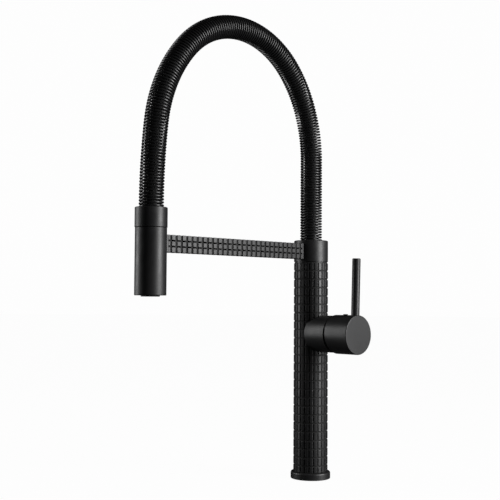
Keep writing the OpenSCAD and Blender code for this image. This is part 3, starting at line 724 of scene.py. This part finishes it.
def studded_ring(sizes, height):
    """One row of studs: a toothed band with rounded edges, standing on Z = 0."""
    cell = 2 * math.pi / sizes.flutes
    half_flute = sizes.flute / 2 / COLUMN_R
    round_angle = sizes.edge / COLUMN_R
    floor = COLUMN_R - sizes.depth
    inner = floor - 0.6 * MM
    outline = []
    for k in range(sizes.flutes):
        start = sizes.turn + k * cell
        first, last = start + half_flute, start + cell - half_flute
        outline += [(floor, first), (COLUMN_R - sizes.edge, first)]
        outline += [(COLUMN_R - 0.29 * sizes.edge, first + 0.29 * round_angle)]
        for step in range(5):
            outline.append((COLUMN_R, first + round_angle + (last - first - 2 * round_angle) * step / 4))
        outline += [(COLUMN_R - 0.29 * sizes.edge, last - 0.29 * round_angle)]
        outline += [(COLUMN_R - sizes.edge, last), (floor, last)]
    levels = [(0, 1.0), (0.29 * sizes.edge, 0.29), (sizes.edge, 0.0), (height - sizes.edge, 0.0),
              (height - 0.29 * sizes.edge, 0.29), (height, 1.0)]
    bm = bmesh.new()
    rings = []
    for z, drop in levels:
        rings.append([bm.verts.new((max(r - drop * sizes.edge, floor) * math.cos(a),
                                    max(r - drop * sizes.edge, floor) * math.sin(a), z)) for r, a in outline])
    for z in (height, 0):
        rings.append([bm.verts.new((inner * math.cos(a), inner * math.sin(a), z)) for _, a in outline])
    n = len(outline)
    for here, there in zip(rings, rings[1:] + rings[:1]):
        for i in range(n):
            j = (i + 1) % n
            bm.faces.new((here[i], here[j], there[j], there[i]))
    return finish_mesh(bm, "stud_row", MATERIALS["coat"])


class FAUCET_OT_column(bpy.types.Operator):
    """Make the column: a tube with rows of studs cut all round it"""
    bl_idname = "faucet.column"
    bl_label = "Studded Column"

    def execute(self, context):
        sizes = context.scene.faucet_column
        floor = COLUMN_R - sizes.depth
        bore = 17 * MM
        pocket = (half_width("cartridge_body", 1) + 0.2 * MM, (9.9 * MM, 0, VALVE_Z), (30 * MM, 0, VALVE_Z))
        # The core shows at the bottom of the grooves and carries the painted-shade finish
        turned("column_tube_core", rounded([
            (bore, COLUMN_LOW, 0.2 * MM), (floor, COLUMN_LOW, 0.2 * MM), (floor, COLUMN_TOP, 0.2 * MM),
            (bore, COLUMN_TOP, 0.2 * MM)]), MATERIALS["groove"], "base", "column_tube", "matte_black_coat",
            cuts=[pocket])
        # Rows are counted down from the top, and the flange cuts the last one short
        full = int((COLUMN_TOP - COLUMN_LOW) / sizes.pitch)
        lowest = COLUMN_TOP - full * sizes.pitch
        rows = grown("column_studs", studded_ring(sizes, sizes.pitch - sizes.groove), repeat_tree(), {
            "Copies": full, "Start": (0, 0, lowest + sizes.groove / 2), "Step": (0, 0, sizes.pitch),
            "Material": MATERIALS["coat"]}, MATERIALS["coat"])
        cut_away(rows, [pocket])
        settle(rows, "base", "matte_black_coat", "column_tube")
        gap = 0.4 * MM
        foot = studded_ring(sizes, lowest - sizes.groove / 2 - COLUMN_LOW - gap)
        foot.data.transform(Matrix.Translation((0, 0, COLUMN_LOW + gap)))
        foot.name = "column_foot_studs"
        settle(foot, "base", "matte_black_coat", "column_tube")
        return {"FINISHED"}


ALONG_X = Matrix.Translation((0, 0, VALVE_Z)) @ Matrix.Rotation(math.pi / 2, 4, "Y")


class FAUCET_OT_valve_housing(bpy.types.Operator):
    """Make the housing on the column's side that holds the cartridge"""
    bl_idname = "faucet.valve_housing"
    bl_label = "Valve Housing"

    def execute(self, context):
        low, high = span("valve_housing", 0)
        outer = half_width("valve_housing", 1)
        bore = half_width("cartridge_body", 1) + 0.2 * MM
        saddle = (COLUMN_R + 0.02 * MM, (0, 0, VALVE_Z - 30 * MM), (0, 0, VALVE_Z + 30 * MM))
        turned("valve_housing_turned", rounded([
            (bore, low, 0), (outer, low, 0.3 * MM), (outer, high, 0.7 * MM), (bore, high, 0.4 * MM)]),
            MATERIALS["coat"], "base", "valve_housing", "matte_black_coat", place=ALONG_X, cuts=[saddle])
        return {"FINISHED"}


# ---- Handle ----

def slanted(back, front, radius, run):
    """Leans the cap's back edge: furthest back at the top, where the outline's radius points up."""
    def warp(point):
        share = min(1.0, max(0.0, (front - point.z) / (front - back)))
        return Vector((point.x, point.y, point.z + share * run * (radius + point.x) / (2 * radius)))
    return warp


class FAUCET_OT_handle(bpy.types.Operator):
    """Make the handle: its round cap, the lever and the plug over the set screw"""
    bl_idname = "faucet.handle"
    bl_label = "Handle"

    def execute(self, context):
        self.cap()
        self.lever()
        self.plug()
        return {"FINISHED"}

    def cap(self):
        back, face = span("handle_cap", 0)
        radius = half_width("handle_cap", 1)
        wall = 2 * MM
        hub, hub_start, socket = 9.5 * MM, back + 6 * MM, 3.4 * MM
        outline = rounded([
            (radius - wall, back, 0.4 * MM), (radius, back, 1.3 * MM), (radius, face, 0.9 * MM),
            (0.0, face, 0), (0.0, face - wall, 0), (socket, face - wall, 0), (socket, hub_start, 0),
            (hub, hub_start, 0.4 * MM), (hub, face - wall, 0), (radius - wall, face - wall, 0.6 * MM)])
        turned("handle_cap_turned", outline, MATERIALS["coat"], "handle", "handle_cap", "matte_black_coat",
               place=ALONG_X, warp=slanted(back, back + 7 * MM, radius, 3.2 * MM))

    def lever(self):
        low, high = span("lever_rod", 2)
        left, right = span("lever_rod", 0)
        radius = half_width("lever_rod", 1)
        lean = math.radians(1.6)
        top_x = right - radius
        foot_x = left + radius
        place = Matrix.Translation((foot_x, 0, low)) @ Matrix.Rotation(lean, 4, "Y")
        reach = math.hypot(top_x - foot_x, high - low) - radius * math.sin(lean)
        turned("lever_rod_turned", rounded([
            (0.0, 0.3 * MM, 0), (radius, 0.3 * MM, 0.4 * MM), (radius, reach, 1.1 * MM), (0.0, reach, 0)]),
            MATERIALS["coat"], "handle", "lever_rod", "matte_black_coat", place=place)

    def plug(self):
        low, high = span("indicator_plug", 2)
        radius = half_width("indicator_plug", 0)
        place = Matrix.Translation((middle("indicator_plug", 0), 0, 0))
        turned("indicator_plug_turned", rounded([
            (0.0, low, 0), (radius, low, 0.2 * MM), (radius, high, 0.7 * MM), (1.6 * MM, high, 0.1 * MM),
            (1.3 * MM, high - 0.35 * MM, 0.1 * MM), (0.0, high - 0.35 * MM, 0)]),
            MATERIALS["black plastic"], "handle", "indicator_plug", "black_plastic", place=place)


# ---- Spout ----

class FAUCET_OT_swivel_collar(bpy.types.Operator):
    """Make the plain collar that the spout swivels on"""
    bl_idname = "faucet.swivel_collar"
    bl_label = "Swivel Collar"

    def execute(self, context):
        low, high = span("swivel_collar", 2)
        bore, water, seat = 11.06 * MM, 3.52 * MM, SPRING_R + 0.02 * MM
        web_low, web_high = low + 14.05 * MM, high - SPRING_SEAT
        screw_z, bolt_z = low + 11.3 * MM, low + 8 * MM
        turned("swivel_collar_turned", rounded([
            (bore, low, 0.3 * MM), (COLUMN_R, low, 0.45 * MM), (COLUMN_R, high, 1.3 * MM),
            (seat, high, 0.5 * MM), (seat, web_high, 0), (water, web_high, 0), (water, web_low, 0), (bore, web_low, 0)]),
            MATERIALS["coat"], "spout", "swivel_collar", "matte_black_coat", cuts=[
                (2.02 * MM, (0, 5 * MM, screw_z), (0, 25 * MM, screw_z)),
                (4.7 * MM, (0, 0, bolt_z), (0, -14.3 * MM, bolt_z)),
                (FIXING_HOLE_R, (0, -10 * MM, bolt_z), (0, -25 * MM, bolt_z))])
        return {"FINISHED"}


def arm_block(outline, length_y, edge):
    """One studded block of the arm, from Y = 0 towards +Y, with rounded ends."""
    bm = bmesh.new()
    rings = []
    for y, inset in ((0, edge), (0.29 * edge, 0.29 * edge), (edge, 0), (length_y - edge, 0),
                     (length_y - 0.29 * edge, 0.29 * edge), (length_y, edge)):
        rings.append([bm.verts.new((x - math.copysign(min(inset, abs(x)), x), y,
                                    z - math.copysign(min(inset, abs(z)), z))) for x, z in outline])
    n = len(outline)
    for here, there in zip(rings, rings[1:]):
        for i in range(n):
            bm.faces.new((here[i], here[(i + 1) % n], there[(i + 1) % n], there[i]))
    bm.faces.new(rings[0])
    bm.faces.new(rings[-1])
    return bm


def section(half_w, half_h, sizes):
    """The arm's section as (x, z, rounding) corners, anticlockwise from the lower right."""
    d, s, e = sizes.depth, sizes.slot / 2, sizes.edge
    soft = 0.6 * e
    side = []
    for z in (-half_h / 3, half_h / 3):
        side += [(half_w, z - s, soft), (half_w - d, z - s, 0), (half_w - d, z + s, 0), (half_w, z + s, soft)]
    top = [(s, half_h, soft), (s, half_h - d, 0), (-s, half_h - d, 0), (-s, half_h, soft)]
    half = [(half_w, -half_h, e)] + side + [(half_w, half_h, e)] + top
    return rounded(half + [(-x, -z, r) for x, z, r in half], steps=2)


class FAUCET_OT_support_arm(bpy.types.Operator):
    """Make the studded arm that the spray head docks on"""
    bl_idname = "faucet.support_arm"
    bl_label = "Support Arm"

    def execute(self, context):
        sizes = context.scene.faucet_arm
        half_w, half_h = half_width("support_arm", 0), (ARM_HIGH - ARM_LOW) / 2
        z = (ARM_LOW + ARM_HIGH) / 2
        head_r = half_width("head_shell", 0) + 0.3 * MM
        head_end = -REACH + head_r
        saddles = [(COLUMN_R + 0.02 * MM, (0, 0, ARM_LOW - 5 * MM), (0, 0, ARM_HIGH + 5 * MM)),
                   (head_r, (0, -REACH, ARM_LOW - 5 * MM), (0, -REACH, ARM_HIGH + 5 * MM)),
                   (MAGNET_HOLE_R, (0, head_end - 3 * MM, z), (0, head_end + 4 * MM, z)),
                   (FIXING_HOLE_R, (0, -15 * MM, z - 3.8 * MM), (0, -34 * MM, z - 3.8 * MM))]
        arm_len = -COLUMN_R - head_end
        count = int((arm_len - 2 * sizes.plain) / sizes.pitch)
        first = head_end + (arm_len - count * sizes.pitch + sizes.groove) / 2
        outline = section(half_w, half_h, sizes)
        block = finish_mesh(arm_block(outline, sizes.pitch - sizes.groove, sizes.edge), "arm_block",
                            MATERIALS["coat"])
        studs = grown("support_arm_studs", block, repeat_tree(), {
            "Copies": count, "Start": (0, first, z), "Step": (0, sizes.pitch, 0),
            "Material": MATERIALS["coat"]}, MATERIALS["coat"])
        settle(studs, "spout", "matte_black_coat", "support_arm")
        # The core shows at the bottom of the grooves and carries the painted-shade finish
        self.bar("support_arm_core", -COLUMN_R + 2 * MM, head_end - 1.4 * MM,
                 rounded([(half_w - sizes.depth, -half_h + sizes.depth, 0.2 * MM),
                          (half_w - sizes.depth, half_h - sizes.depth, 0.2 * MM),
                          (-half_w + sizes.depth, half_h - sizes.depth, 0.2 * MM),
                          (-half_w + sizes.depth, -half_h + sizes.depth, 0.2 * MM)], steps=2), z, saddles,
                 "groove")
        last = first + count * sizes.pitch
        tip = first - sizes.groove
        run_out, lap = 2.2 * MM, 0.05 * MM
        square = rounded([(half_w, -half_h, 0.4 * MM), (half_w, half_h, 0.4 * MM),
                          (-half_w, half_h, 0.4 * MM), (-half_w, -half_h, 0.4 * MM)], steps=3)
        self.bar("support_arm_root", -COLUMN_R + 2 * MM, last + run_out, square, z, saddles[:1] + saddles[3:])
        self.bar("support_arm_tip", tip - run_out, head_end - 1.4 * MM, square, z, saddles[1:3])
        self.bar("support_arm_tip_studs", tip - run_out + lap, tip, outline, z, saddles[2:3])
        self.bar("support_arm_root_studs", last, last + run_out - lap, outline, z, ())
        return {"FINISHED"}

    def bar(self, name, y0, y1, outline, z, cuts, finish="coat"):
        bm = arm_block(outline, abs(y1 - y0), 0.15 * MM)
        bmesh.ops.translate(bm, verts=bm.verts, vec=(0, min(y0, y1), z))
        piece = finish_mesh(bm, name, MATERIALS[finish])
        cut_away(piece, cuts)
        settle(piece, "spout", "matte_black_coat", "support_arm")


class FAUCET_OT_hose(bpy.types.Operator):
    """Make the braided hose that runs inside the spring"""
    bl_idname = "faucet.hose"
    bl_label = "Spout Hose"

    def execute(self, context):
        outer, inner, sides = 8 * MM, 5.25 * MM, 32
        path = arch_path(COLLAR_TOP - SPRING_SEAT, UNION_SHOULDER, 1.6 * MM)
        bm = bmesh.new()
        outside = sweep(bm, path, circle(outer, sides), (1, 0, 0))
        inside = sweep(bm, path, circle(inner, sides), (1, 0, 0))
        layer = bm.loops.layers.uv.new("Along")
        run = [0.0]
        for a, b in zip(path, path[1:]):
            run.append(run[-1] + (b - a).length)

        def wall(rings):
            for i in range(len(path) - 1):
                for k in range(sides):
                    j = (k + 1) % sides
                    face = bm.faces.new((rings[i][k], rings[i][j], rings[i + 1][j], rings[i + 1][k]))
                    corners = ((i, k), (i, k + 1), (i + 1, k + 1), (i + 1, k))
                    for loop, (ring, spoke) in zip(face.loops, corners):
                        loop[layer].uv = (run[ring], spoke / sides)

        wall(outside)
        wall(inside)
        for end in (0, -1):
            for k in range(sides):
                j = (k + 1) % sides
                bm.faces.new((outside[end][k], outside[end][j], inside[end][j], inside[end][k]))
        piece = finish_mesh(bm, "spout_hose_braided", MATERIALS["hose"])
        bend_with_head(piece)
        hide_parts("spout_hose")
        return {"FINISHED"}


def bend_with_head(piece):
    """Puts the piece's placement into its mesh."""
    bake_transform(piece)


class FAUCET_OT_spring(bpy.types.Operator):
    """Wind the long coil spring round the arch"""
    bl_idname = "faucet.spring"
    bl_label = "Spring"

    def execute(self, context):
        sizes = context.scene.faucet_spring
        wire_r = sizes.wire / 2
        path = arch_path(COLLAR_TOP - SPRING_SEAT + wire_r, HEAD_RING_TOP - SPRING_SEAT + wire_r, 1.0 * MM)
        line = points_object(path, [(i, i + 1) for i in range(len(path) - 1)])
        coil = grown("spring_coil", line, coil_tree(), {
            "Turns": path_length(path) / sizes.pitch, "Steps": sizes.steps,
            "Coil radius": SPRING_R - wire_r - 0.05 * MM, "Wire radius": wire_r, "Wire sides": sizes.sides,
            "Material": MATERIALS["wire"]}, MATERIALS["wire"], sharp_from=math.radians(60))
        bend_with_head(coil)
        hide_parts("spring")
        return {"FINISHED"}


# ---- Hose end and spray head ----

AT_HEAD = Matrix.Translation((0, -REACH, 0))


class FAUCET_OT_head_ring(bpy.types.Operator):
    """Make the collar at the hose's end"""
    bl_idname = "faucet.head_ring"
    bl_label = "Head Ring"

    def execute(self, context):
        outer = half_width("head_ring", 0)
        low, high = HEAD_RING_LOW, HEAD_RING_TOP
        turned("head_ring_turned", rounded([
            (9.02 * MM, low, 0.2 * MM), (outer, low, 0.35 * MM), (outer, high, 0.9 * MM),
            (SPRING_R + 0.02 * MM, high, 0.4 * MM), (SPRING_R + 0.02 * MM, high - SPRING_SEAT, 0),
            (9.42 * MM, high - SPRING_SEAT, 0), (9.42 * MM, UNION_SHOULDER, 0),
            (9.02 * MM, UNION_SHOULDER, 0)]),
            MATERIALS["coat"], "hose_end", "head_ring", "matte_black_coat", place=AT_HEAD)
        return {"FINISHED"}


class FAUCET_OT_spray_head(bpy.types.Operator):
    """Make the spray head: its shell, the nozzle ring with its nubs, and the aerator's mesh"""
    bl_idname = "faucet.spray_head"
    bl_label = "Spray Head"

    def execute(self, context):
        self.shell()
        self.nozzle()
        self.aerator()
        return {"FINISHED"}

    def shell(self):
        outer = half_width("head_shell", 0)
        low, high = span("head_shell", 2)
        inner, lip = outer - 2.5 * MM, high - 15.2 * MM
        seat_z = (ARM_LOW + ARM_HIGH) / 2
        turned("head_shell_turned", rounded([
            (inner, low, 0.35 * MM), (outer, low, 0.75 * MM), (outer, high, 0.45 * MM),
            (9.06 * MM, high, 0.2 * MM), (9.06 * MM, lip, 0), (inner, lip, 0)]), MATERIALS["coat"], "spray_head", "head_shell",
            "matte_black_coat", place=AT_HEAD,
            cuts=[(4.82 * MM, (0, inner - 1.4 * MM - REACH, seat_z), (0, inner + 0.02 * MM - REACH, seat_z))])

    def nozzle(self):
        low, high = span("nozzle_ring", 2)
        outer, proud = half_width("nozzle_ring", 0), 9.65 * MM
        face = span("head_shell", 2)[0] + 0.4 * MM
        bore, step = 8.02 * MM, low + 6.4 * MM
        turned("nozzle_ring_turned", rounded([
            (bore, low, 0.25 * MM), (proud, low, 0.5 * MM), (proud, face, 0.15 * MM), (outer, face, 0.3 * MM),
            (outer, high, 0.2 * MM), (7 * MM, high, 0), (7 * MM, step, 0), (bore, step, 0)]),
            MATERIALS["rubber"], "spray_head", "nozzle_ring", "black_rubber", place=AT_HEAD)
        nub = finish_mesh(lathe(bmesh.new(), rounded([
            (0.35 * MM, 0.6 * MM, 0), (0.35 * MM, -0.25 * MM, 0), (0.62 * MM, -0.25 * MM, 0.1 * MM),
            (0.95 * MM, 0.6 * MM, 0)], steps=2), segments=12), "nub", MATERIALS["rubber"])
        ring_r = (proud + outer) / 2
        spots = [(ring_r * math.cos(a), ring_r * math.sin(a) - REACH, face)
                 for a in (2 * math.pi * k / 20 for k in range(20))]
        nubs = grown("nozzle_nubs", points_object(spots), scatter_tree(),
                     {"Shape": nub, "Material": MATERIALS["rubber"]}, MATERIALS["rubber"])
        bpy.data.objects.remove(nub)
        settle(nubs, "spray_head", "black_rubber")

    def aerator(self):
        low, high = span("aerator_insert", 2)
        outer = half_width("aerator_insert", 0)
        rim = 0.8 * MM
        turned("aerator_rim", rounded([
            (outer - rim, low, 0.2 * MM), (outer, low, 0.2 * MM), (outer, high, 0), (outer - rim, high, 0)]),
            MATERIALS["steel z"], "spray_head", "aerator_insert", "stainless", place=AT_HEAD)
        pitch, thick = 1.25 * MM, 0.16 * MM
        cell = bmesh.new()
        corner_r = pitch / math.sqrt(3)
        lathe(cell, [(corner_r - thick, 0.3 * MM), (corner_r, 0.3 * MM), (corner_r, high - low),
                     (corner_r - thick, high - low)], segments=6,
              place=Matrix.Rotation(math.pi / 6, 4, "Z"))
        shape = finish_mesh(cell, "cell", MATERIALS["steel z"])
        spots = []
        reach = int(outer / pitch) + 1
        for row in range(-reach, reach + 1):
            for k in range(-reach, reach + 1):
                x = (k + (row % 2) / 2) * pitch
                y = row * pitch * math.sqrt(3) / 2
                if math.hypot(x, y) < outer - rim - 0.1 * pitch:
                    spots.append((x, y - REACH, low))
        mesh = grown("aerator_mesh", points_object(spots), scatter_tree(),
                     {"Shape": shape, "Material": MATERIALS["steel z"]}, MATERIALS["steel z"])
        bpy.data.objects.remove(shape)
        settle(mesh, "spray_head", "stainless", "aerator_insert")


# ---- Stage ----

CAMERA_PLACE = Vector((0.764205, -0.825860, 0.20668))
CAMERA_RIGHT = Vector((0.689092, 0.724645, 0.006449))
CAMERA_UP = Vector((0.033615, -0.040853, 0.998600))


def softbox(name, direction, distance, height, size, power):
    """A tall soft light that faces the middle of the faucet."""
    aim = Vector((0, -0.1, 0.27))
    where = aim + Vector((direction[0], direction[1], 0)).normalized() * distance
    where.z = height
    light = bpy.data.lights.new(name, "AREA")
    light.shape = "RECTANGLE"
    light.size, light.size_y = size
    light.energy = power
    lamp = bpy.data.objects.new(name, light)
    lamp.location = where
    lamp.rotation_euler = (aim - where).to_track_quat("-Z", "Y").to_euler()
    bpy.context.scene.collection.objects.link(lamp)


class FAUCET_OT_stage(bpy.types.Operator):
    """Set the camera, the pale floor and the soft lights"""
    bl_idname = "faucet.stage"
    bl_label = "Stage"

    def execute(self, context):
        setting = context.scene.faucet_stage
        self.camera(context, setting)
        self.floor(setting)
        self.surroundings(context)
        softbox("Right light", (0.90, 0.43), 1.3, 0.42, (0.5, 1.3), 29)
        softbox("Left light", (-0.80, -0.60), 1.3, 0.42, (0.45, 1.2), 10)
        return {"FINISHED"}

    def camera(self, context, setting):
        data = bpy.data.cameras.new("Camera")
        data.lens = setting.lens
        data.sensor_width = 36
        eye = bpy.data.objects.new("Camera", data)
        back = CAMERA_RIGHT.cross(CAMERA_UP)
        turn = Matrix((CAMERA_RIGHT, CAMERA_UP, back)).transposed().to_4x4()
        eye.matrix_world = Matrix.Translation(CAMERA_PLACE) @ turn
        context.scene.collection.objects.link(eye)
        context.scene.camera = eye

    def floor(self, setting):
        bm = bmesh.new()
        bmesh.ops.create_circle(bm, cap_ends=True, segments=128, radius=12.0)
        mesh = bpy.data.meshes.new("floor")
        bm.to_mesh(mesh)
        bm.free()
        ground = bpy.data.objects.new("floor", mesh)
        bpy.context.scene.collection.objects.link(ground)
        material, tree, shader = plain_material("Pale floor", setting.floor, 0.9)
        glow = add(tree, "ShaderNodeEmission", None, Color=(1, 1, 1, 1), Strength=0.992)
        ray = add(tree, "ShaderNodeLightPath")
        shade = add(tree, "ShaderNodeMix", {"data_type": "RGBA"}, _0=ray.outputs["Is Camera Ray"],
                    _6=(0.05, 0.05, 0.05, 1), _7=(*setting.floor, 1))
        tree.links.new(shade.outputs[2], shader.inputs["Base Color"])
        share = add(tree, "ShaderNodeMath", {"operation": "MULTIPLY"}, _0=ray.outputs["Is Camera Ray"],
                    _1=0.985)
        blend = add(tree, "ShaderNodeMixShader", None, Fac=share.outputs[0], _1=shader.outputs[0],
                    _2=glow.outputs[0])
        tree.links.new(blend.outputs[0], tree.nodes["Material Output"].inputs["Surface"])
        mesh.materials.append(material)

    def surroundings(self, context):
        world = bpy.data.worlds.new("Studio")
        context.scene.world = world
        world.use_nodes = True
        tree = world.node_tree
        seen = tree.nodes["Background"]
        seen.inputs["Color"].default_value = (1, 1, 1, 1)
        ray = add(tree, "ShaderNodeLightPath")
        strength = add(tree, "ShaderNodeMapRange", None, Value=ray.outputs["Is Camera Ray"], To_Min=0.012,
                       To_Max=0.985)
        tree.links.new(strength.outputs[0], seen.inputs["Strength"])
        context.scene.view_settings.view_transform = "Standard"


# ---- Panel and registration ----

STEPS = (FAUCET_OT_stage, FAUCET_OT_finishes, FAUCET_OT_base_flange, FAUCET_OT_column, FAUCET_OT_valve_housing,
         FAUCET_OT_handle, FAUCET_OT_swivel_collar, FAUCET_OT_support_arm, FAUCET_OT_hose, FAUCET_OT_spring,
         FAUCET_OT_head_ring, FAUCET_OT_spray_head)
GROUPS = {"faucet_column": FaucetColumnSizes, "faucet_arm": FaucetArmSizes, "faucet_spring": FaucetSpringSizes,
          "faucet_finish": FaucetFinish, "faucet_stage": FaucetStage}


class FAUCET_PT_build(bpy.types.Panel):
    """Lists the faucet's pieces"""
    bl_idname = "FAUCET_PT_build"
    bl_label = "Faucet"
    bl_space_type = "VIEW_3D"
    bl_region_type = "UI"
    bl_category = "Faucet"

    def draw(self, context):
        for step in STEPS:
            self.layout.operator(step.bl_idname)


def register():
    for cls in (*GROUPS.values(), *STEPS, FAUCET_PT_build):
        bpy.utils.register_class(cls)
    for name, cls in GROUPS.items():
        setattr(bpy.types.Scene, name, PointerProperty(type=cls))


def unregister():
    for name in GROUPS:
        delattr(bpy.types.Scene, name)
    for cls in reversed((*GROUPS.values(), *STEPS, FAUCET_PT_build)):
        bpy.utils.unregister_class(cls)


def main():
    register()
    for step in STEPS:
        group, call = step.bl_idname.split(".")
        getattr(getattr(bpy.ops, group), call)()


if __name__ == "__main__":
    main()
